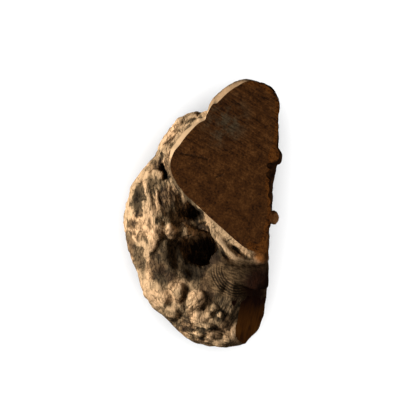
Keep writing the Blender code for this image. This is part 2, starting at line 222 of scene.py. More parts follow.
def closed_curve(points, steps=6):
    """A smooth closed curve through the points, as a dense list of them."""
    p = np.array(points, float)
    before, after, beyond = (np.roll(p, shift, axis=0) for shift in (1, -1, -2))
    t = np.arange(steps)[None, :, None] / steps
    p, before, after, beyond = (q[:, None, :] for q in (p, before, after, beyond))
    bend = 2 * before - 5 * p + 4 * after - beyond
    twist = 3 * p - before - 3 * after + beyond
    curve = p + 0.5 * (t * (after - before) + t**2 * bend + t**3 * twist)
    return curve.reshape(-1, 2)


def distance_to_line(x, y, a, b):
    """Distance in the XY plane to the straight line from a to b."""
    dx, dy = b[0] - a[0], b[1] - a[1]
    along = np.clip(((x - a[0]) * dx + (y - a[1]) * dy) / (dx * dx + dy * dy), 0, 1)
    return np.hypot(x - a[0] - along * dx, y - a[1] - along * dy)


def distance_to_path(x, y, line):
    """Distance in the XY plane to the straight lines that join the points."""
    return np.min([distance_to_line(x, y, a, b) for a, b in zip(line, line[1:])], axis=0)


def distance_to_outline(curve, x, y):
    """Distance in the XY plane to a closed curve, negative inside it."""
    x, y = np.broadcast_arrays(x, y)
    nearest = np.full(x.shape, np.inf)
    inside = np.zeros(x.shape, bool)
    for a, b in zip(curve, np.roll(curve, -1, axis=0)):
        nearest = np.minimum(nearest, distance_to_line(x, y, a, b))
        if a[1] != b[1]:
            side = x < a[0] + (b[0] - a[0]) * (y - a[1]) / (b[1] - a[1])
            inside ^= ((a[1] > y) != (b[1] > y)) & side
    return np.where(inside, -nearest, nearest)


def turned(a, b, degrees):
    """Two coordinates along axes turned by that angle."""
    c, s = np.cos(np.radians(degrees)), np.sin(np.radians(degrees))
    return c * a + s * b, c * b - s * a


def ellipsoid(x, y, z, centre, radii, turn=0.0, lean=0.0):
    """Field of an ellipsoid, turned about Z and then with its top leaned towards its own +X, in degrees."""
    x, y, z = x - centre[0], y - centre[1], z - centre[2]
    x, y = turned(x, y, turn)
    x, z = turned(x, z, -lean)
    reach = np.sqrt(x**2 + y**2 + z**2)
    gauge = np.sqrt((x / radii[0]) ** 2 + (y / radii[1]) ** 2 + (z / radii[2]) ** 2)
    return reach * (1 - 1 / np.maximum(gauge, TINY))


def above_plane(x, y, z, corner, normal):
    """Distance in front of a plane."""
    return sum(n * (q - c) for n, q, c in zip(unit(normal), (x, y, z), corner))


def by_direction(table, angle):
    """The values of the table's columns in that direction, in degrees."""
    angles, *columns = np.array(table, float).T
    return [np.interp(angle, angles, column, period=360) for column in columns]


BURL_CURVE = closed_curve(BURL_OUTLINE)
TRUNK_CURVE = closed_curve(TRUNK_OUTLINE)


def hollowed(field, x, y, z, hollows):
    """The field with the listed ellipsoids taken out of it."""
    for *settings, blend in hollows:
        field = smooth_cut(field, ellipsoid(x, y, z, *settings), blend)
    return field


def burl(x, y, z):
    """The burl's rounded mass, with its broad hollows."""
    dx, dy, dz = x - BURL_CENTRE[0], y - BURL_CENTRE[1], z - EQUATOR_Z
    curve = BURL_CURVE - BURL_CENTRE
    angles = np.arctan2(curve[:, 1], curve[:, 0])
    radius = np.interp(np.arctan2(dy, dx), angles, np.hypot(*curve.T), period=TAU)
    half = np.where(dz > 0, CROWN_HEIGHT, BELLY_DEPTH)
    p = BURL_SQUARENESS
    gauge = ((np.hypot(dx, dy) / radius) ** p + np.abs(dz / half) ** p) ** (1 / p)
    field = np.sqrt(dx**2 + dy**2 + dz**2) * (1 - 1 / np.maximum(gauge, TINY))
    field = hollowed(field, x, y, z, BURL_HOLLOWS)
    past_side = above_plane(x, y, z, SIDE_CORNER, SIDE_NORMAL) - SIDE_WASTE
    return smooth_cut(field, -past_side, SIDE_BLEND)


def trunk(x, y, z):
    """The trunk's stub, standing under the outline of its cut and rounding in underneath."""
    out = distance_to_outline(TRUNK_CURVE, x, y)
    depth = -above_plane(x, y, z, CUT_CORNER, CUT_NORMAL)
    angle = np.degrees(np.arctan2(y - TRUNK_CENTRE[1], x - TRUNK_CENTRE[0]))
    flare = by_direction(FLARE, angle)[0] * smooth_step(0, FLARE_DEPTH, depth)
    under = np.clip((TRUNK_TURN_IN_Z - z) / TRUNK_TURN_IN_Z, 0, 1)
    inset = TRUNK_TURN_IN * under**TRUNK_TURN_IN_POWER
    ends = np.maximum(-depth - SAW_ALLOWANCE, TRUNK_FLOOR_Z - z)
    bevel = out + by_direction(BEVEL, angle)[0] - BEVEL_SLOPE * depth
    field = np.maximum.reduce([out - flare + inset, bevel, ends])
    for table in ROLLS:
        roll_out, roll_down, radius = by_direction(table, angle)
        roll = np.hypot(out - roll_out, depth - roll_down) - radius
        roll = smooth_cut(roll, ROLLS_RIGHT_X - x, ROLLS_RIGHT_BLEND)
        field = smooth_union(field, roll, ROLL_BLEND)
    return field


def grown(x, y, z):
    """The whole root before it is sawn: negative inside the wood."""
    field = smooth_union(burl(x, y, z), trunk(x, y, z), FOOT_BLEND)
    field = hollowed(field, x, y, z, LIP_HOLLOWS)
    field = smooth_union(field, ellipsoid(x, y, z, *WEB), WEB_BLEND)
    for nub in NUBS:
        field = smooth_union(field, ellipsoid(x, y, z, *nub), NUB_BLEND)
    return field


def layer(points, rise, size, seed, turn=0):
    """Soft noise up to about that rise at each point, with lumps of that size along axes turned about Z."""
    x, y, z = points.T
    places = np.stack([*turned(x, y, turn), z], axis=1) / np.array(size)
    shift = Vector([seed * step for step in SEED_SHIFT])
    return rise * np.array([noise.noise(Vector(p) + shift) for p in places])


def crests(points, height, settings):
    """A layer of noise turned into narrow crests of that height, with round valleys between them."""
    return height - 2 * np.abs(layer(points, *settings))


def warts_at(x, y):
    """Height of the listed warts at a place seen from above, with a crease round each."""
    height, covered, crease = np.zeros((3, *x.shape))
    for wart_x, wart_y, half_width, half_length, turn, rise in WARTS:
        away = place(x, y, (wart_x, wart_y), (half_width, half_length), turn)
        bump = 1 - smooth_step(*DOME_FALL, away)
        height = np.maximum(height, rise * bump)
        covered = np.maximum(covered, bump)
        crease = np.maximum(crease, np.exp(-(((away - CREASE_MIDDLE) / CREASE_WIDTH) ** 2)))
    return height - CREASE_DEPTH * crease * (1 - covered)


def ridges_at(x, y):
    """Height of the listed ridges and clefts at a place seen from above."""
    height = np.zeros_like(x)
    for line, half_width, rise in RIDGES:
        away = distance_to_path(x, y, line)
        height += rise * np.exp(-((away / half_width) ** 2))
    return height


def right_side(points):
    """1 on the trunk's right side, 0 elsewhere."""
    return smooth_step(*RIGHT_SIDE_X, points[:, 0]) * smooth_step(*RIGHT_SIDE_Y, points[:, 1])


def bark_freedom(points):
    """How gnarled the bark is at each point, from 0 to 1."""
    x, y, z = points.T
    below_cut = -above_plane(x, y, z, CUT_CORNER, CUT_NORMAL)
    right = right_side(points)
    free = smooth_step(*FREE_BELOW_CUT, below_cut) * (1 - right)
    free += smooth_step(*FREE_BELOW_RIGHT_CUT, below_cut) * right
    from_neck = [(q - c) / half for q, c, half in zip((x, y), NECK_PLACE, NECK_HALF_SIZE)]
    free *= smooth_step(*FREE_FROM_NECK, np.hypot(*from_neck))
    for *settings, _ in LIP_HOLLOWS:
        free *= smooth_step(*FREE_FROM_HOLLOW, ellipsoid(x, y, z, *settings))
    return free * smooth_step(*FREE_FROM_REST, z)


def relief(points, normals):
    """How far the gnarled surface stands out past the grown form."""
    x, y, z = points.T
    up = smooth_step(*FACES_UP, normals[:, 2])
    listed = (warts_at(x, y) + ridges_at(x, y)) * up
    swell, grain, lumps = (layer(points, *settings) for settings in (SWELL, GRAIN, LUMPS))
    grain *= GRAIN_ON_SIDES + (1 - GRAIN_ON_SIDES) * np.abs(normals[:, 2])
    lumpy = np.maximum(right_side(points), smooth_step(*LOWER_END, y + z))
    lumps = np.maximum(lumps, 0) * lumpy * (1 - LUMPS_LOST_ON_TOP * up)
    return listed + bark_freedom(points) * (swell + grain + lumps)


# The relief's deepest hollow and highest rise, and how far from the surface the small relief is worked out
RELIEF_DEPTH = 6.0
RELIEF_RISE = 11.0
SMALL_RELIEF_REACH = 3.0
LEAST_SLOPE = 0.3
PINCH_FILL = 0.3
# Where the lower part's bark stands upright, it makes the outline seen from above, and is kept calmer
UPRIGHT = 0.3
LOWER_PART_Y = (-30.0, -50.0)
RELIEF_CALMED = 0.6
SMALL_RELIEF_CALMED = 0.7

# Small relief. Each layer of noise: height, size along X, Y and Z, seed, and any turn about Z in degrees
STREAKS_DOWN = (0.55, (2.6, 10, 3.4), 21)
STREAKS_ACROSS = (0.55, (9, 2.8, 3.4), 22)
KNOBS = (1.008, (4.4, 4.4, 4.4), 23)
KNOBS_FLOOR = 0.21
SPECKS = (0.175, (1.9, 1.9, 1.9), 24)
HOLLOW_FOLDS = (0.8, (2.1, 6, 7), 28, 10)
HOLLOW_SWELL = (0.9, (5, 7, 7), 29)
RING_WAVER = (1.5, (7, 7, 7), 27)
SAW_TURN = -31.0
SAW_WAVES = (0.16, (28, 3.2, 6), 31, SAW_TURN)
SIDE_END_RAGGED = (7.0, (7, 7, 7), 32)
STREAK_CREST = 0.275
FOLD_CREST = 0.27
HOLLOW_CREST = 0.4
# Streaks run down the burl's left and right, and across it elsewhere, by direction from this point
STREAK_CENTRE = (0, -12, 40)
STREAKS_TURN = (0.35, 0.75)

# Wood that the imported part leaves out: the collar's join, its rusty end, the outer bark's upper end, the
# web's left end and the upper hollow's wall. Points of a line along its middle, radius
FILLINGS = [
    ([(4, -3, 80), (10, -12, 79.6), (15, -18, 78.6), (19.5, -22.5, 76.6)], 3.2),
    ([(44, -24, 73.5), (45.3, -33, 71.5)], 5.0),
    ([(-15, 67.2, 54.5), (-4, 71.2, 55), (4, 73.4, 55)], 3.3),
    ([(-23, -12, 64.5), (-10, -13, 61.5)], 5.0),
    ([(-19, 25, 65), (-12, 13, 63)], 6.0),
    ([(-17.5, 14, 62), (-15, 6, 61)], 5.0),
]
FILLING_BLEND = 2.0
# What is worn off the web's top, the lower hollow's left shore and the outer bark's edge: centre, radii,
# turn and lean in degrees, edge softness
WORN = [
    ((-3, -11, 81), (8, 8, 13), 0, 0, 5), ((-27, -31, 82), (14, 16, 19), 0, 0, 8),
    ((-26, 76, 50), (20, 11.5, 60), 42, 0, 2),
]
# How much of the trunk's edge is taken off round its cut, by direction in degrees, none where negative
BEVEL = [
    (60, -9), (76, -1), (88, 1.6), (107, 1.8), (111, -1), (119, -1), (123, 1.8), (140, 2.2), (160, 1.8),
    (172, -1), (184, -9),
]
BEVEL_SLOPE = 0.5

# Bark broken out of the trunk's right edge: centre, radii
NOTCHES = [
    ((51.5, 35.5, 62), (3.4, 2.6, 6)), ((51.0, 28.5, 62), (3.8, 3.6, 6)), ((53.0, 21.5, 62), (3.4, 4.0, 7)),
    ((51.5, 13.5, 64), (3.0, 3.2, 6)), ((53.5, 6.5, 64), (3.4, 3.4, 7)), ((51.5, -11.0, 66), (2.6, 4.0, 7)),
]
NOTCH_BLEND = 1.5

# Places on the front, as ellipses seen from above: centre, half sizes, turn in degrees, edge softness
GREY_FOLDS = ((-22, 12), (17, 15), -35, 0.35)
FIBRES = ((23, -68), (12, 15), -25, 0.35)
# Bark in folds: its place, its layer of noise, and how much of the other small relief gives way to it
FOLDED = [(GREY_FOLDS, (0.495, (1.9, 10, 6), 25, 14), 0.7), (FIBRES, (0.54, (1.9, 14, 6), 26, -28), 0.8)]
# Arcs round the lower left of the neck: their middle, reach, directions in degrees, spacing and height
NECK_MIDDLE = (28.1, -40.9)
RING_INNER = (10.0, 13.0)
RING_OUTER = (20.0, 24.0)
RING_START = (155.0, 195.0)
RING_END = (262.0, 300.0)
RING_SPACING = 2.7
RING_HEIGHT = 0.26
# How far from a hollow's wall its own folds start to fade and end
HOLLOW_FADE = (0.5, 4.5)


def place(x, y, centre, half_sizes, turn=0):
    """Distance from the centre of an ellipse, where 1 is its edge."""
    across, along = turned(x - centre[0], y - centre[1], turn)
    return np.hypot(across / half_sizes[0], along / half_sizes[1])


def within(x, y, centre, half_sizes, turn, soft):
    """1 inside the ellipse and 0 outside it, with a soft edge."""
    return 1 - smooth_step(1 - soft, 1 + soft, place(x, y, centre, half_sizes, turn))


# How pale the front is, from 0, black, to 1, painted in this order. A stroke: tone, points, half width.
# A spot: tone, middle, half sizes, and any turn in degrees
PAINT = [
    # Broad zones
    (0.3, (-21.4, 10.1), (16.5, 18), -35),
    (0.65, [(-40.1, 40.1), (-48.4, 25.1), (-54.4, 8.6), (-55.9, -6.4)], 6.8),
    (0.6, (-37.9, -5.6), (6.8, 10.5)), (0.58, (-46.9, -7.9), (6, 6.8)),
    (0.32, (-10.1, -81.4), (22.5, 12), -20), (0.21, (15.4, -58.9), (18, 11.2)),
    (0.34, [(26.6, -67.9), (22.1, -73.9), (18.4, -84.4)], 4.5),
    (0.6, [(-47.6, -37.9), (-43.1, -49.9), (-37.1, -57.4), (-32.6, -63.4)], 6.8),
    (0.16, (-28.1, -45.4), (9.8, 6.8)), (0.24, (-25.1, -28.9), (12, 10.5)),
    (0.22, (-36.4, -35.6), (6.8, 6)), (0.33, [(-52.1, -19.9), (-48.4, -28.9), (-44.6, -37.9)], 6),
    (0.28, [(-51.4, -22.9), (-48.4, -31.9), (-44.6, -39.4)], 2.6),
    # The hollows, with painted shade near black deep in them, and the web between them
    (0.17, (-17.6, -30.4), (9.8, 11.2), -10), (0.03, (-5.6, -43.1), (9, 7.5), -30),
    (0.2, (1.9, -52.9), (4.5, 5.2)), (0.05, (1.9, -31.9), (12.8, 13.5)),
    (0.56, (-1.9, -15.4), (8.2, 3.8)), (0.2, (-1.9, -9.4), (9, 3.4), -20),
    (0.28, (-14.6, 7.9), (8.2, 5.2), -30), (0.3, [(-22.9, 24.4), (-16.9, 16.9), (-10.9, 10.9)], 3.4),
    (0.33, [(-19.1, 17.6), (-15.4, 10.1)], 3), (0.06, (-4.1, 0.4), (6.8, 6)),
    # The outer bark at the upper left
    (0.46, [(-33.4, 46.1), (-26.6, 56.6), (-19.1, 65.6), (-8.6, 72.4), (3.4, 76.9)], 6.8),
    (0.66, [(-31.1, 49.9), (-25.1, 60.4), (-13.9, 71.6)], 1.9), (0.7, (-10.9, 71.6), (3.8, 2.2)),
    (0.66, (-4.1, 73.1), (3.8, 2.6)), (0.42, [(-23.6, 53.6), (-19.1, 61.1), (-14.6, 64.9)], 0.8),
    (0.42, [(-22.1, 61.1), (-17.6, 66.4)], 0.9), (0.34, [(-10.9, 67.1), (-4.1, 70.9)], 1),
    (0.36, (-1.9, 74.6), (0.9, 2.6)), (0.44, [(-28.1, 46.1), (-25.1, 52.9), (-21.4, 56.6)], 1.5),
    (0.68, (2.6, 75.4), (2.6, 3.8)),
    # The cleft, with painted shade in it, its knob and the trunk's grey side
    (0.3, (-34.9, 36.4), (3.4, 4.5)), (0.33, [(-25.1, 35.6), (-23.6, 28.9), (-19.1, 22.1)], 3),
    (0.05, [(-29.6, 43.9), (-30.4, 37.9), (-28.9, 31.9), (-26.6, 26.6)], 1.7),
    (0.54, (-32.6, 28.9), (4.9, 3.4), -25), (0.36, [(-37.9, 35.6), (-37.9, 29.6), (-36.4, 23.6)], 1.2),
    (0.64, (-30.4, 30.4), (2.6, 1.7), -20), (0.42, (-34.9, 26.6), (2.2, 1.9)),
    (0.28, (-33.4, 20.6), (5.2, 5.2)),
    # Dark patches on the left
    (0.17, (-45.4, 10.9), (6, 12.8), -6), (0.15, [(-43.1, 23.6), (-45.4, 16.9)], 2.4),
    (0.11, (-46.1, 11.6), (4.9, 4.1)), (0.1, [(-46.9, 13.9), (-41.6, 7.9)], 1.5),
    (0.12, (-46.1, 2.6), (3.3, 4.5)), (0.22, [(-43.1, 22.1), (-43.1, 12.4)], 2),
    (0.24, (-52.9, 7.1), (1.5, 2.2)), (0.3, [(-46.1, 4.1), (-43.9, -1.1)], 1.2),
    (0.28, (-52.5, -7.9), (4.1, 3.8)), (0.29, (-40.1, -17.2), (3.8, 4.5)),
    (0.35, (-49.9, -17.6), (3, 4.5)),
    # Pale crests on the left
    (0.64, [(-43.1, 25.1), (-40.9, 17.6), (-38.6, 10.9), (-38.2, 4.9)], 1.7),
    (0.62, [(-41.6, 7.1), (-40.9, -1.9), (-39.4, -8.6)], 2.5), (0.62, [(-33.4, 16.1), (-32.6, 7.9)], 1.4),
    (0.36, [(-36.4, 22.1), (-35.6, 13.1), (-33.4, 4.1)], 1.4), (0.3, [(-38.6, 24.4), (-38.6, 19.1)], 1.4),
    (0.66, [(-38.6, -13.9), (-36.4, -19.9), (-36.4, -26.6)], 2.7),
    (0.6, [(-47.6, -22.1), (-41.6, -24.4), (-40.9, -30.4)], 2.2),
    (0.6, [(-40.1, -28.9), (-39.4, -34.9)], 1.4), (0.62, [(-47.6, -13.9), (-51, -16.9), (-47.6, -19.9)], 1),
    (0.34, (-48, -16.9), (1.5, 2)),
    # Wood between the two larger hollows
    (0.54, (-21.8, -13.1), (4.2, 6.4), 32), (0.44, (-11.2, -13.5), (2.4, 5.2)),
    (0.44, [(-28.9, -6.4), (-27.4, -14.6)], 2.2), (0.26, (-32.6, -5.6), (1.9, 1.9)),
    (0.18, [(-19.9, 10.9), (-18.8, 6.4)], 1.2),
    # The lower warts, and the gaps between them, with painted shade on the warts' right sides
    (0.5, [(-16.9, -52.9), (-19.1, -60.4), (-19.9, -67.1)], 4.9), (0.66, (-15.8, -54.8), (3, 3.4)),
    (0.32, [(-10.9, -55.9), (-13.1, -64.9), (-13.9, -75.4)], 2.1), (0.48, (-4.1, -64.9), (6.8, 9.4), -20),
    (0.6, (-2.6, -60.4), (3.8, 3.8)), (0.24, [(3.4, -55.9), (4.1, -64.1), (1.1, -70.9)], 1.8),
    (0.64, (-22.1, -71.2), (4.9, 2.1), -5), (0.58, (-19.1, -76.1), (2, 3.4)),
    (0.4, (-24.4, -75.4), (2.2, 2.6)), (0.2, [(-10.1, -76.9), (-8.6, -82.9), (-5.6, -87.4)], 1.5),
    (0.66, (-1.1, -78.4), (6.4, 6), -20), (0.56, [(-0.4, -73.1), (4.9, -74.6), (7.1, -78.4)], 1.1),
    (0.56, (3.4, -83.6), (6, 2.7), -12), (0.14, [(-1.9, -85.1), (4.1, -87.4), (8.6, -85.1)], 1),
    (0.46, (10.1, -70.1), (3, 3.8), 20), (0.14, (13.9, -75.4), (4.5, 4.5)),
    (0.6, (13.9, -75.4), (2.4, 2.2)), (0.5, (-2.6, -90), (4.5, 2.4), -20),
    (0.52, (7.1, -89.6), (4.9, 2.5), -5), (0.56, [(3.4, -94.1), (16.9, -93.4), (25.9, -95.6)], 2),
    (0.15, [(-6.4, -92.6), (1.1, -94.1)], 1), (0.46, (15.4, -83.6), (3, 2.2), 20),
    (0.22, (-11.6, -84.4), (3.8, 6), 20), (0.72, (25.1, -87.4), (3.2, 6), -20),
    (0.4, (-31.1, -73.9), (2.2, 2.2)), (0.24, [(-28.9, -76.9), (-22.1, -81.4)], 1.5),
    # The collar and the neck, with painted shade in the creases under the collar's ridges
    (0.6, [(-1.9, 6.4), (4.9, -1.1)], 1.5), (0.58, [(6.4, -4.1), (11.6, -11.6), (19.9, -19.1)], 3.8),
    (0.57, [(20.6, -18.4), (28.1, -25.1), (35.6, -31.1)], 2.4),
    (0.24, [(22.9, -24.4), (28.9, -29.6), (36.4, -34.1)], 1),
    (0.42, [(7.1, -13.1), (15.4, -19.1), (22.9, -24.4)], 0.6),
    (0.7, [(13.1, -18.4), (19.1, -27.4), (25.9, -34.1), (33.4, -36.4), (41.6, -36.4)], 2.1),
    (0.16, [(13.9, -24.4), (17.6, -31.1), (22.1, -36.4), (28.9, -39.8), (40.9, -39.4)], 1),
    (0.3, [(0.4, -52.1), (4.9, -46.1), (9.4, -39.4)], 2.2),
]
TONE_BASE = 0.42
PAINT_SOFT = 0.3
# Two layers of noise that make the painted edges ragged, and the seeds' steps from X to Y and Z
RAGGED = [(1.0, (5, 5, 5), 41), (0.6, (2.0, 2.6, 2.0), 42)]
RAGGED_SEED_STEPS = (0, 10, 20)
# Pale places stand out a little and dark ones lie deeper, away from the left edge and below the cut
EMBOSS = 3.2
EMBOSSED_X = (-48.0, -36.0)
EMBOSSED_BELOW_CUT = (1.0, 4.0)


def painted(points):
    """How pale the front is at each point."""
    shift = 0
    for rise, size, seed in RAGGED:
        shift += np.stack([layer(points, rise, size, seed + step) for step in RAGGED_SEED_STEPS], axis=1)
    left = 1 - smooth_step(*EMBOSSED_X, points[:, 0])
    x, y, _ = (points + shift * (1 + left)[:, None]).T
    tone = np.full(len(points), TONE_BASE)
    for target, where, half, *turn in PAINT:
        if isinstance(where, list):
            far = distance_to_path(x, y, where) / half
        else:
            far = place(x, y, where, half, *turn)
        tone += (target - tone) * (1 - smooth_step(1 - PAINT_SOFT, 1 + PAINT_SOFT, far))
    return tone


def ring_zone(x, y):
    """1 where the bark is folded in arcs round the neck's lower left, and the distance from their middle."""
    dx, dy = x - NECK_MIDDLE[0], y - NECK_MIDDLE[1]
    away = np.hypot(dx, dy)
    angle = np.degrees(np.arctan2(dy, dx)) % 360
    zone = smooth_step(*RING_INNER, away) * (1 - smooth_step(*RING_OUTER, away))
    return zone * smooth_step(*RING_START, angle) * (1 - smooth_step(*RING_END, angle)), away


def in_hollows(points):
    """1 on the walls of the hollows under the lip and on the web between them."""
    places = [hollow[:4] for hollow in LIP_HOLLOWS] + [WEB]
    nearest = np.min([ellipsoid(*points.T, *settings) for settings in places], axis=0)
    return 1 - smooth_step(*HOLLOW_FADE, nearest)


def small_relief(points, normals):
    """The wrinkles, knobs and folds that the coarse relief leaves out."""
    x, y, z = points.T
    up = smooth_step(*FACES_UP, normals[:, 2])
    outward = points - STREAK_CENTRE
    side = smooth_step(*STREAKS_TURN, np.abs(outward[:, 0]) / np.linalg.norm(outward, axis=1))
    down = crests(points, STREAK_CREST, STREAKS_DOWN)
    across = crests(points, STREAK_CREST, STREAKS_ACROSS)
    streaks = side * down + (1 - side) * across
    knobs = np.abs(layer(points, *KNOBS)) - KNOBS_FLOOR
    rough = bark_freedom(points) * (streaks + knobs + layer(points, *SPECKS))
    for spot, settings, covered in FOLDED:
        folds = crests(points, FOLD_CREST, settings)
        rough += within(x, y, *spot) * up * (folds - covered * rough)
    walls = crests(points, HOLLOW_CREST, HOLLOW_FOLDS) + layer(points, *HOLLOW_SWELL)
    rough += in_hollows(points) * (walls - rough)
    depth = -above_plane(x, y, z, CUT_CORNER, CUT_NORMAL)
    emboss = EMBOSS * up * smooth_step(*EMBOSSED_BELOW_CUT, depth) * smooth_step(*EMBOSSED_X, x)
    rough += emboss * (painted(points) - TONE_BASE)
    zone, away = ring_zone(x, y)
    rings = RING_HEIGHT * np.sin(away * TAU / RING_SPACING + layer(points, *RING_WAVER))
    return rough + zone * (rings - rough)


def sample(value, places):
    """The grid's value at places counted in grid steps, read linearly between its points."""
    base = np.clip(np.floor(places).astype(int), 0, np.array(value.shape) - 2)
    share = places - base
    total = np.zeros(len(places))
    for corner in product((0, 1), repeat=3):
        weight = np.prod(np.where(corner, share, 1 - share), axis=1)
        total += weight * value[tuple((base + corner).T)]
    return total


def slope_at(value, places, reach=0.5):
    """How the grid's value changes at places, for each grid step along each axis."""
    slope = np.empty_like(places)
    for axis in range(3):
        offset = np.zeros(3)
        offset[axis] = reach
        change = sample(value, places + offset) - sample(value, places - offset)
        slope[:, axis] = change / (2 * reach)
    return slope


# Along an axis of the grid, all points but the last, and all but the first
HALVES = (slice(None, -1), slice(1, None))


def fill_pinches(value):
    """Fill grid points until the wood nowhere meets itself along a mere edge or at a mere corner."""
    corners = list(product(HALVES, repeat=3))
    while True:
        inside = value < 0
        pinched = np.zeros(value.shape, bool)
        for first, second in ((0, 1), (0, 2), (1, 2)):
            square = []
            for halves in product(HALVES, repeat=2):
                part = [slice(None)] * 3
                part[first], part[second] = halves
                square.append(tuple(part))
            a, b, c, d = (inside[part] for part in square)
            for part in square:
                pinched[part] |= (a == d) & (b == c) & (a != b)
        count = sum(inside[corner].astype(int) for corner in corners)
        for corner, opposite in zip(corners[:4], corners[::-1]):
            wood_only = (count == 2) & inside[corner] & inside[opposite]
            gap_only = (count == 6) & ~inside[corner] & ~inside[opposite]
            for part in corners:
                pinched[part] |= wood_only | gap_only
        pinched &= ~inside
        if not pinched.any():
            return value
        value[pinched] = -PINCH_FILL


# How often the points next to a saw cut are drawn onto the surfaces that meet there, and how far at most
SHARPENING_ROUNDS = 6
SHARPENING_REACH = 0.9


def surface_net(fields):
    """Points, quads and each quad's field where the greatest of the fields is zero, with sharp edges kept."""
    value = fill_pinches(np.maximum.reduce(fields))
    cells = [n - 1 for n in value.shape]
    total = np.zeros(cells + [3])
    count = np.zeros(cells)
    seen = np.zeros(cells + [len(fields)], bool)
    rings, quad_kinds = [], []
    for axis in range(3):
        near, far = [tuple(part if k == axis else slice(None) for k in range(3)) for part in HALVES]
        crossed = np.argwhere((value[near] < 0) != (value[far] < 0))
        at = tuple(crossed.T)
        start, end = value[near][at], value[far][at]
        share = start / (start - end)
        kind = np.argmax([(1 - share) * f[near][at] + share * f[far][at] for f in fields], axis=0)
        point = crossed.astype(float)
        point[:, axis] += share
        first, second = (k for k in range(3) if k != axis)
        ring = []
        for step_first, step_second in ((0, 0), (-1, 0), (-1, -1), (0, -1)):
            cell = crossed.copy()
            cell[:, first] += step_first
            cell[:, second] += step_second
            np.add.at(total, tuple(cell.T), point)
            np.add.at(count, tuple(cell.T), 1)
            seen[(*cell.T, kind)] = True
            ring.append(cell)
        ring = np.stack(ring, axis=1)
        backward = (start >= 0) ^ (axis == 1)
        ring[backward] = ring[backward, ::-1]
        rings.append(ring)
        quad_kinds.append(kind)
    used = count > 0
    index = np.full(cells, -1)
    index[used] = np.arange(used.sum())
    places = total[used] / count[used][:, None]
    kinds = seen[used]
    first_places = places.copy()
    sawn = kinds[:, 1:].any(axis=1)
    for _ in range(SHARPENING_ROUNDS):
        for kind, field in enumerate(fields):
            chosen = kinds[:, kind] & sawn
            slope = slope_at(field, places[chosen])
            steep = np.maximum((slope**2).sum(axis=1), TINY)
            off = sample(field, places[chosen]) / steep
            places[chosen] -= off[:, None] * slope
    moved = np.clip(places - first_places, -SHARPENING_REACH, SHARPENING_REACH)
    places = first_places + moved
    quads = index[tuple(np.moveaxis(np.concatenate(rings), -1, 0))]
    return places, quads, np.concatenate(quad_kinds)


def rod(x, y, z, line, radius):
    """A round rod along a line of points."""
    nearest = np.inf
    for a, b in zip(np.array(line), np.array(line[1:])):
        way = b - a
        share = np.clip(((x - a[0]) * way[0] + (y - a[1]) * way[1] + (z - a[2]) * way[2]) / (way @ way), 0, 1)
        far = [q - c - share * d for q, c, d in zip((x, y, z), a, way)]
        nearest = np.minimum(nearest, np.sqrt(far[0] ** 2 + far[1] ** 2 + far[2] ** 2))
    return nearest - radius


def onto_surface(value, slope, steep, low, chosen):
    """The chosen grid points' indices, the surface's points under them and its direction there."""
    near = np.argwhere(chosen)
    at = tuple(near.T)
    normals = slope[at] / steep[at][:, None]
    return at, low + GRID_STEP * near - value[at][:, None] * normals, normals


def upright_below(points, normals):
    """1 where the lower part's bark stands upright."""
    upright = np.exp(-((normals[:, 2] / UPRIGHT) ** 2))
    return upright * smooth_step(*LOWER_PART_Y, points[:, 1])


# How near the trunk cut's plane its marks are worked out, and how near the bark's surface the side cut's
# ragged end is, both in grid steps, and how near the side cut's plane it is
SAW_MARK_STEPS = 2
RAGGED_STEPS = 4
RAGGED_REACH = 8.0


def root_fields():
    """The grid's low corner, and on it the fields of bark, cuts and floor, and the small relief."""
    half = np.array([WIDTH / 2, LENGTH / 2])
    low = np.array([*(-half - GRID_MARGIN), -GRID_MARGIN])
    high = np.array([*(half + GRID_MARGIN), HEIGHT + GRID_MARGIN])
    axes = [np.arange(a, b + GRID_STEP, GRID_STEP) for a, b in zip(low, high)]
    x, y, z = np.meshgrid(*axes, indexing="ij", sparse=True)
    value = grown(x, y, z)
    for line, radius in FILLINGS:
        value = smooth_union(value, rod(x, y, z, line, radius), FILLING_BLEND)
    value = hollowed(value, x, y, z, WORN)
    value = hollowed(value, x, y, z, [(*notch, NOTCH_BLEND) for notch in NOTCHES])
    slope = np.stack(np.gradient(value, GRID_STEP), axis=-1)
    steep = np.maximum(np.linalg.norm(slope, axis=-1), LEAST_SLOPE)
    value = value / steep
    chosen = (value > -RELIEF_DEPTH) & (value < RELIEF_RISE)
    at, *surface = onto_surface(value, slope, steep, low, chosen)
    value[at] -= relief(*surface) * (1 - RELIEF_CALMED * upright_below(*surface))
    small = np.zeros_like(value)
    chosen = np.abs(value) < SMALL_RELIEF_REACH
    at, *surface = onto_surface(value, slope, steep, low, chosen)
    small[at] = small_relief(*surface) * (1 - SMALL_RELIEF_CALMED * upright_below(*surface))
    value -= small
    cut = above_plane(x, y, z, CUT_CORNER, CUT_NORMAL)
    near = np.argwhere(np.abs(cut) < SAW_MARK_STEPS * GRID_STEP)
    cut[tuple(near.T)] += layer(low + GRID_STEP * near, *SAW_WAVES)
    out = unit(SIDE_NORMAL)
    along = unit(np.array([0, 1, 0]) - out * out[1])
    side_end = SIDE_TOP_Y - SIDE_CORNER[1]
    up_side = above_plane(x, y, z, SIDE_CORNER, along)
    side = above_plane(x, y, z, SIDE_CORNER, SIDE_NORMAL)
    side = np.minimum(side, side_end - up_side)
    near = np.argwhere((np.abs(side) < RAGGED_REACH) & (np.abs(value) < RAGGED_STEPS * GRID_STEP))
    at = tuple(near.T)
    points = low + GRID_STEP * near
    in_front = above_plane(*points.T, SIDE_CORNER, SIDE_NORMAL)
    side[at] = np.minimum(in_front, side_end + layer(points, *SIDE_END_RAGGED) - up_side[at])
    rest = np.broadcast_to(-z, value.shape)
    return low, [value, cut, side, rest], small


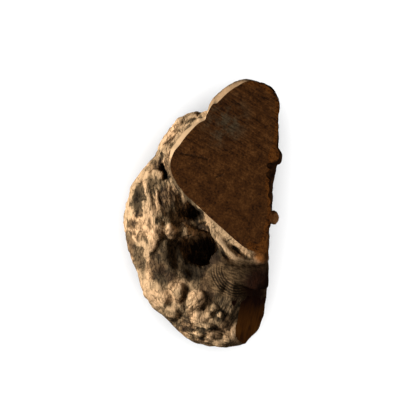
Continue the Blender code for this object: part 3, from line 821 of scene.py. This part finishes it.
# Places on the surface, as ellipses seen from above: centre, half sizes, turn in degrees, edge softness
NECK_ROUND = ((28, -48), (24, 15), 0, 0.2)
GREY_END = ((18, 68), (14, 17), -35, 0.6)
LOWER_EDGE = ((-1, -88), (32, 9), -15, 0.35)
COLLAR_TIP = ((46.5, -27.5), (7, 10), -15, 0.3)
# Painted shade on the bark to the right of the neck: its ellipse, and the heights where it starts and is
# whole
PAINTED_SHADE_SPOT = ((43, -55), (12.5, 16.5), 0, 0.4)
PAINTED_SHADE_Z = (22.0, 44.0)
NUB_SPOT = ((55, -2.6), (4.5, 6), 0, 0.2)
NUB_Z = (56.0, 59.0)
# The outer bark, and the largest wart with its neighbours
SLANTING = [
    ((-17.6, 62.6), (24, 11), 40, 0.35), ((-4.5, -66), (6.5, 9.5), -20, 0.35),
    ((-21, -14), (6, 8), 30, 0.35),
]
# The thin lip along the trunk's lower left edge, how far from it the bark is smooth and how far it is cracked
LIP_LINE = [(-23, 36), (-20, 26), (-12, 15), (0, 4), (14, -9), (22, -17)]
LIP_WIDTH = 2.6
LIP_BELOW_CUT = (10.0, 6.0)
LIP_CRACKED_WIDTH = 4.5
# The rusty band on the cut's right: Y, its width there, how softly it ends, and where it starts along X
RIM_WIDTH = ([-28, -20, 0, 20, 36, 44, 52, 80, 99], [9, 6, 2.6, 3.4, 4, 6, 3, 3, 4])
RIM_FADE = (0.5, 1.2)
RIM_X = (30.0, 38.0)
# Cracks in the trunk's cut: points, half width
CRACKS = [([(-14.6, 44.2), (-4, 42.6), (4.9, 40.1)], 0.55), ([(10.9, 26.6), (16.1, 28.9)], 0.45)]
# The pale wall under the cut's upper left edge, which darkens towards its upper end
WALL_BELOW_CUT = (6.0, 9.0)
WALL_Y = (36.0, 45.0)
WALL_TONE = 0.72
WALL_DARKENING = 0.14
WALL_DARK_Y = (64.0, 82.0)
# Tone of the bark off the front, and how far a surface faces up where the front's tones start and are whole
TONE_NOISE = (0.5, (13, 17, 13), 43)
TONE_BY_HEIGHT = 0.25
PAINTED_UP = (-0.2, 0.3)
TONE_LEAST = 0.05
# Painted shade darkens corners where other wood stands within this reach, by the share that it closes
CORNER_REACH = 2.5
CORNER_PAINTED_SHADE = 0.3
CORNER_OPEN = 0.95


def put_in_scene(name, data):
    """An object of that name and data, in the scene."""
    made = bpy.data.objects.new(name, data)
    bpy.context.scene.collection.objects.link(made)
    return made


def make_mesh(low, fields, small):
    """The root's object, with its kinds of surface, its sharp edges and what the materials read from it."""
    places, quads, kinds = surface_net(fields)
    points = np.array(low) + GRID_STEP * places
    mesh = bpy.data.meshes.new("briar_root_wood")
    mesh.from_pydata((points * METRES).tolist(), [], quads.tolist())
    mesh.polygons.foreach_set("use_smooth", np.ones(len(quads), bool))
    mesh.polygons.foreach_set("material_index", kinds.astype(np.int32))
    loop_edges = np.empty(len(mesh.loops), np.int32)
    mesh.loops.foreach_get("edge_index", loop_edges)
    loop_kinds = np.repeat(kinds, 4)
    lowest = np.full(len(mesh.edges), len(fields))
    highest = np.zeros(len(mesh.edges), int)
    np.minimum.at(lowest, loop_edges, loop_kinds)
    np.maximum.at(highest, loop_edges, loop_kinds)
    sharp_edges = mesh.attributes.new("sharp_edge", "BOOLEAN", "EDGE")
    sharp_edges.data.foreach_set("value", lowest != highest)
    normals = np.empty(len(points) * 3, np.float32)
    mesh.vertices.foreach_get("normal", normals)
    normals = normals.reshape(-1, 3)
    up = smooth_step(*PAINTED_UP, normals[:, 2])
    x, y, z = points.T
    right = right_side(points)
    depth = -above_plane(x, y, z, CUT_CORNER, CUT_NORMAL)
    wall = (1 - smooth_step(*WALL_BELOW_CUT, depth)) * smooth_step(*WALL_Y, y) * (1 - right)
    around = TONE_BASE + layer(points, *TONE_NOISE) + TONE_BY_HEIGHT * sample(small, places)
    tone = around + up * (painted(points) - around)
    tone += (WALL_TONE - WALL_DARKENING * smooth_step(*WALL_DARK_Y, y) - tone) * wall
    # Painted shade in corners where other wood closes in
    corner = sample(np.maximum.reduce(fields), places + CORNER_REACH / GRID_STEP * normals) / CORNER_REACH
    tone += CORNER_PAINTED_SHADE * np.minimum(np.maximum(corner, 0) - CORNER_OPEN, 0)
    lip_away = distance_to_path(x, y, LIP_LINE)
    lip = np.exp(-((lip_away / LIP_WIDTH) ** 2)) * smooth_step(*LIP_BELOW_CUT, depth)
    smooth = np.maximum(wall, lip)
    values = {
        "tone": np.maximum(tone, TONE_LEAST),
        "right": right,
        "neck": within(x, y, *NECK_ROUND) * up,
        "smooth": smooth,
        # painted shade on the bark to the right of the neck
        "painted_shade": within(x, y, *PAINTED_SHADE_SPOT) * smooth_step(*PAINTED_SHADE_Z, z),
        "rim": right_rim(x, y),
        "rings": ring_zone(x, y)[0] * up,
        "folds": np.maximum(within(x, y, *GREY_FOLDS), in_hollows(points)) * up,
        "fibres": within(x, y, *FIBRES) * up,
        "slanting": np.max([within(x, y, *spot) for spot in SLANTING], axis=0) * (1 - smooth),
        "level": within(x, y, *LOWER_EDGE) * up,
        "crack": cracks_at(x, y),
        "grey": within(x, y, *GREY_END),
        "nub": within(x, y, *NUB_SPOT) * smooth_step(*NUB_Z, z),
        "tip": within(x, y, *COLLAR_TIP) * up,
        "lip": np.exp(-((lip_away / LIP_CRACKED_WIDTH) ** 2)) * (1 - wall),
    }
    for name, value in values.items():
        attribute = mesh.attributes.new(name, "FLOAT", "POINT")
        attribute.data.foreach_set("value", value.astype(np.float32))
    mesh.validate()
    return put_in_scene("briar_root_wood", mesh)


def right_rim(x, y):
    """1 on the rusty band along the right edge of the trunk's cut."""
    inside = -distance_to_outline(TRUNK_CURVE, x, y)
    width = np.interp(y, *RIM_WIDTH)
    return (1 - smooth_step(*RIM_FADE, inside / width)) * smooth_step(*RIM_X, x)


def cracks_at(x, y):
    """1 in the middle of a crack in the trunk's cut, and 0 away from all of them."""
    deep = np.zeros(len(x))
    for line, half_width in CRACKS:
        deep = np.maximum(deep, np.exp(-((distance_to_path(x, y, line) / half_width) ** 2)))
    return deep


class Nodes:
    """A material's nodes, made one at a time, each giving the socket that it puts out."""

    def __init__(self, name):
        self.material = bpy.data.materials.new(name)
        self.material.use_nodes = True
        self.tree = self.material.node_tree
        self.shader = self.tree.nodes["Principled BSDF"]

    def put(self, socket, value):
        if isinstance(value, bpy.types.NodeSocket):
            self.tree.links.new(value, socket)
        else:
            socket.default_value = value

    def add(self, kind, inputs=None, output=0, **settings):
        node = self.tree.nodes.new("ShaderNode" + kind)
        for name, value in settings.items():
            setattr(node, name, value)
        for name, value in (inputs or {}).items():
            self.put(node.inputs[name], value)
        return node.outputs[output]

    def attribute(self, name):
        return self.add("Attribute", output="Fac", attribute_name=name)

    def math(self, operation, a, b=0.0, c=0.0):
        return self.add("Math", {0: a, 1: b, 2: c}, operation=operation)

    def times(self, a, b, plus=0.0):
        return self.math("MULTIPLY_ADD", a, b, plus)

    def less(self, a, b=0.5):
        return self.math("SUBTRACT", a, b)

    def rise(self, value, start, end, low=0.0, high=1.0):
        """low where value is under start, high past end, and a smooth rise between."""
        inputs = {"Value": value, "From Min": start, "From Max": end, "To Min": low, "To Max": high}
        return self.add("MapRange", inputs, interpolation_type="SMOOTHSTEP")

    def mapping(self, sizes, turn=0.0):
        """Object coordinates turned about Z and counted in sizes, in millimetres."""
        where = self.add("TexCoord", output="Object")
        inputs = {"Vector": where, "Angle": -np.radians(turn)}
        along = self.add("VectorRotate", inputs, rotation_type="Z_AXIS")
        scale = [1 / (size * METRES) for size in sizes]
        return self.add("VectorMath", {0: along, 1: scale}, operation="MULTIPLY")

    def noise(self, sizes, turn=0.0, detail=3.0, roughness=0.55, distortion=0.0):
        inputs = {
            "Vector": self.mapping(sizes, turn), "Scale": 1.0, "Detail": detail,
            "Roughness": roughness, "Distortion": distortion,
        }
        return self.add("TexNoise", inputs)

    def gaps(self, value, width):
        """0 along the thin winding lines where a noise is near its middle, and 1 away from them."""
        return self.rise(self.math("ABSOLUTE", self.less(value)), 0.0, width)

    def ramp(self, value, stops):
        node = self.tree.nodes.new("ShaderNodeValToRGB")
        ramp = node.color_ramp
        while len(ramp.elements) < len(stops):
            ramp.elements.new(1.0)
        for element, (position, colour) in zip(ramp.elements, stops):
            element.position = position
            element.color = (*colour, 1.0)
        self.put(node.inputs[0], value)
        return node.outputs[0]

    def mix(self, share, a, b):
        a, b = ((*c, 1.0) if isinstance(c, tuple) else c for c in (a, b))
        return self.add("Mix", {0: share, 6: a, 7: b}, output=2, data_type="RGBA")

    def finish(self, colour, height, depth, roughness, specular=0.12):
        """The material with that colour, and bumps of that depth in mm where height goes from 0 to 1."""
        inputs = {"Height": height, "Distance": depth * METRES, "Strength": 1.0}
        self.put(self.shader.inputs["Base Color"], colour)
        self.put(self.shader.inputs["Roughness"], roughness)
        self.put(self.shader.inputs["Normal"], self.add("Bump", inputs))
        self.put(self.shader.inputs["Specular IOR Level"], specular)
        return self.material


# Ramps of colour: place on the tone's scale, and colour
BARK_TONES = [
    (0.0, (0.012, 0.007, 0.004)), (0.2, (0.050, 0.030, 0.016)), (0.38, (0.16, 0.098, 0.050)),
    (0.52, (0.39, 0.25, 0.138)), (0.68, (0.64, 0.42, 0.245)), (1.0, (0.80, 0.57, 0.37)),
]
GREEN_TONES = [(0.0, (0.016, 0.013, 0.007)), (0.3, (0.085, 0.070, 0.040)), (0.5, (0.24, 0.19, 0.115))]
# What covers the bark in places, and the painted shade to the right of the neck: where, and its ramp
BARK_COVERS = [
    ("right", [(0.3, (0.010, 0.005, 0.002)), (0.5, (0.070, 0.026, 0.008)), (0.7, (0.15, 0.060, 0.017))]),
    ("nub", [(0.35, (0.20, 0.07, 0.018)), (0.6, (0.85, 0.42, 0.17))]),
    ("neck", [(0.28, (0.018, 0.011, 0.005)), (0.45, (0.074, 0.045, 0.021)), (0.64, (0.185, 0.117, 0.060))]),
    ("tip", [(0.3, (0.10, 0.035, 0.007)), (0.7, (0.24, 0.09, 0.02))]),
    ("painted_shade", [(0.3, (0.010, 0.003, 0.001)), (0.7, (0.032, 0.009, 0.003))]),
]
SAWN_TONES = [
    (0.2, (0.026, 0.009, 0.003)), (0.42, (0.084, 0.030, 0.008)), (0.58, (0.128, 0.048, 0.012)),
    (0.8, (0.22, 0.092, 0.027)),
]
GREYER_TONES = [(0.3, (0.035, 0.024, 0.014)), (0.75, (0.15, 0.105, 0.06))]
RUSTY_TONES = [(0.3, (0.026, 0.008, 0.002)), (0.5, (0.14, 0.044, 0.007)), (0.7, (0.25, 0.09, 0.017))]
CRACK_COLOUR = (0.015, 0.009, 0.005)
SIDE_TONES = [(0.3, (0.050, 0.016, 0.004)), (0.5, (0.15, 0.051, 0.007)), (0.72, (0.23, 0.086, 0.013))]
# Painted shade at the sawn side's upper end, under the neck
SIDE_PAINTED_SHADE = (0.020, 0.005, 0.002)

# Strands of the bark: where, size of their noise along X, Y and Z, and its turn in degrees
BARK_STRANDS = [
    ("folds", (1.9, 10, 14), 14), ("fibres", (1.8, 12, 14), -28), ("slanting", (2.0, 10, 14), -50),
    ("level", (10, 2.0, 12), -17),
]
BARK_RING_WIDTH = 1.9
SMOOTHED = 0.75


def bark_material():
    """Pale weathered wood on the crests, with grey brown bark between them and painted shade, near black, in
    the hollows.
    """
    n = Nodes("briar_bark")
    rough = n.less(1.0, n.times(n.attribute("smooth"), SMOOTHED))
    lumps = n.noise((4.5, 6.0, 4.5), detail=4, roughness=0.6)
    specks = n.noise((1.6, 2.4, 1.6), roughness=0.6)
    creases = n.gaps(n.noise((3.2, 9, 9)), 0.05)
    wrinkles = n.gaps(n.noise((2.6, 8, 7), detail=2, distortion=0.5), 0.05)
    cracked = n.gaps(n.noise((4, 16, 16), turn=-45, detail=1), 0.022)
    strands = 0.0
    for name, sizes, turn in BARK_STRANDS:
        strand = n.less(n.noise(sizes, turn=turn, roughness=0.6))
        strands = n.times(strand, n.attribute(name), strands)
    change = n.times(strands, 1.3)
    for part, middle, share in (
        (lumps, 0.5, 0.34), (specks, 0.5, 0.16), (creases, 0.82, 0.16), (wrinkles, 0.75, 0.15),
    ):
        change = n.times(n.less(part, middle), share, change)
    cracks = n.times(n.less(cracked, 1.0), n.attribute("lip"))
    tone = n.times(n.times(cracks, 0.5, change), rough, n.attribute("tone"))
    green_share = n.rise(n.noise((16, 16, 16), detail=1), 0.42, 0.56, 0.0, 0.35)
    colour = n.mix(green_share, n.ramp(tone, BARK_TONES), n.ramp(tone, GREEN_TONES))
    inputs = {0: n.mapping((1, 1, 1e6)), 1: (*NECK_MIDDLE, 0.0)}
    away = n.add("VectorMath", inputs, output=1, operation="DISTANCE")
    turns = n.times(n.noise((9, 9, 9)), 5.0, n.times(away, TAU / BARK_RING_WIDTH))
    rings = n.times(n.times(n.math("SINE", turns), 0.5, 0.5), n.attribute("rings"))
    neck_tone = n.less(n.noise((5, 1.2, 3), turn=-20, detail=4), n.times(rings, 0.3))
    for name, tones in BARK_COVERS:
        cover = n.ramp(neck_tone if name == "neck" else lumps, tones)
        colour = n.mix(n.attribute(name), colour, cover)
    height = n.times(specks, 0.2)
    for part, share in ((creases, 0.25), (strands, 0.9), (wrinkles, 0.25)):
        height = n.times(part, share, height)
    height = n.times(rings, -0.35, n.times(height, rough))
    return n.finish(colour, height, depth=0.8, roughness=0.86)


def cut_material():
    """Dark brown sawn end grain, with saw lines, a greyer part, cracks and a rusty rim on the right."""
    n = Nodes("briar_sawn")
    mottle = n.noise((8, 8, 8), detail=6, roughness=0.66)
    fine = n.noise((1.5, 1.5, 1.5), roughness=0.65)
    lines = n.noise((14, 1.1, 8), turn=SAW_TURN, detail=2)
    wide = n.noise((30, 2.8, 8), turn=SAW_TURN, detail=1)
    # The saw lines grow stronger towards the upper end
    up = n.add("SeparateXYZ", {0: n.add("TexCoord", output="Object")}, output=1)
    lined = n.rise(n.times(mottle, 0.05, up), 0.04, 0.085, 0.12, 0.8)
    tone = n.times(n.less(lines), lined, mottle)
    tone = n.times(n.less(fine), 1.1, tone)
    pits = n.rise(n.noise((1.6, 1.6, 1.6), detail=2), 0.62, 0.7, 0.0, 0.16)
    tone = n.less(tone, pits)
    greyer = n.times(n.attribute("grey"), n.rise(mottle, 0.4, 0.6))
    colour = n.mix(greyer, n.ramp(tone, SAWN_TONES), n.ramp(tone, GREYER_TONES))
    rim = n.rise(n.math("ADD", n.attribute("rim"), n.less(mottle)), 0.35, 0.65)
    colour = n.mix(rim, colour, n.ramp(tone, RUSTY_TONES))
    crack = n.attribute("crack")
    colour = n.mix(n.times(crack, 0.6), colour, CRACK_COLOUR)
    height = n.times(lines, 0.5, n.times(wide, 0.6))
    height = n.times(height, lined, n.times(fine, 0.35))
    return n.finish(colour, n.times(crack, -2.0, height), depth=0.35, roughness=0.72)


def side_material():
    """The smoother sawn side, darkest at its upper end, where shade is painted under the neck."""
    n = Nodes("briar_side")
    mottle = n.noise((9, 14, 9), detail=5)
    lines = n.noise((0.8, 18, 2.0), turn=-12, detail=2)
    tone = n.times(n.less(lines), 0.5, mottle)
    up = n.add("SeparateXYZ", {0: n.add("TexCoord", output="Object")}, output=1)
    # painted shade over the side's upper end
    painted_shade = n.rise(n.times(mottle, 0.03, up), -0.068, -0.046)
    colour = n.mix(painted_shade, n.ramp(tone, SIDE_TONES), SIDE_PAINTED_SHADE)
    return n.finish(colour, lines, depth=0.2, roughness=0.6, specular=0.04)


def floor_material():
    """Plain pale grey."""
    n = Nodes("pale_floor")
    n.put(n.shader.inputs["Base Color"], (0.9, 0.9, 0.9, 1.0))
    n.put(n.shader.inputs["Roughness"], 0.9)
    return n.material


# Lamps, in metres and watts: name, direction from the root, distance, size, power and colour
LAMPS = [
    ("key", (-0.84, 0.05, 0.5), 1.2, 0.5, 30.5, (1.0, 0.94, 0.85)),
    ("fill", (0.15, -0.3, 1.0), 1.6, 1.6, 3.0, (1.0, 0.9, 0.76)),
    ("side", (0.9, -0.25, 0.08), 1.3, 0.6, 3.0, (1.0, 0.9, 0.8)),
]
FLOOR_LAMP = ("floor_light", (0.0, 0.0, 1.0), 2.2, 4.5, 167.0, (1.0, 1.0, 1.0))
ROOT_MIDDLE = Vector((0.0, 0.0, 0.05))
# The camera looks straight down. The width that it sees is measured at its distance from the root
CAMERA_PLACE = (0.006375, 0.002625, 2.546)
CAMERA_DISTANCE = 2.5
FIELD_OF_VIEW = 0.315
SENSOR_WIDTH = 36.0
FARTHEST_SEEN = 30.0
FLOOR_RADIUS = 6.0
FLOOR_CORNERS = 64
SKY_STRENGTH = 0.9


def area_light(target, name, direction, distance, size, power, colour):
    """A soft lamp that shines from that direction on the target alone."""
    lamp = bpy.data.lights.new(name, "AREA")
    lamp.shape = "DISK"
    lamp.size = size
    lamp.energy = power
    lamp.color = colour
    made = put_in_scene(name, lamp)
    way = Vector(direction).normalized()
    made.location = ROOT_MIDDLE + way * distance
    made.rotation_euler = way.to_track_quat("Z", "Y").to_euler()
    lit = bpy.data.collections.new(name + "_lights")
    lit.objects.link(target)
    made.light_linking.receiver_collection = lit


def make_stage(root):
    """The camera, the floor, the lamps and the white surroundings."""
    scene = bpy.context.scene
    camera = bpy.data.cameras.new("camera")
    camera.sensor_width = SENSOR_WIDTH
    camera.lens = SENSOR_WIDTH * CAMERA_DISTANCE / FIELD_OF_VIEW
    camera.clip_end = FARTHEST_SEEN
    scene.camera = put_in_scene("camera", camera)
    scene.camera.location = CAMERA_PLACE
    mesh = bpy.data.meshes.new("floor")
    turns = np.linspace(0, TAU, FLOOR_CORNERS, endpoint=False)
    corners = [(FLOOR_RADIUS * np.cos(a), FLOOR_RADIUS * np.sin(a), 0) for a in turns]
    mesh.from_pydata(corners, [], [list(range(FLOOR_CORNERS))])
    mesh.materials.append(floor_material())
    floor = put_in_scene("floor", mesh)
    floor.visible_diffuse = False
    floor.visible_glossy = False
    for lamp in LAMPS:
        area_light(root, *lamp)
    area_light(floor, *FLOOR_LAMP)
    world = bpy.data.worlds.new("studio")
    scene.world = world
    world.use_nodes = True
    back = world.node_tree.nodes["Background"]
    back.inputs["Color"].default_value = (1.0, 1.0, 1.0, 1.0)
    back.inputs["Strength"].default_value = SKY_STRENGTH
    world.cycles_visibility.diffuse = False
    world.cycles_visibility.glossy = False
    scene.view_settings.view_transform = "Standard"


low, fields, small = root_fields()
root = make_mesh(low, fields, small)
for material in (bark_material(), cut_material(), side_material(), side_material()):
    root.data.materials.append(material)
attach(root, "root")
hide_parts("briar_root")
make_stage(root)
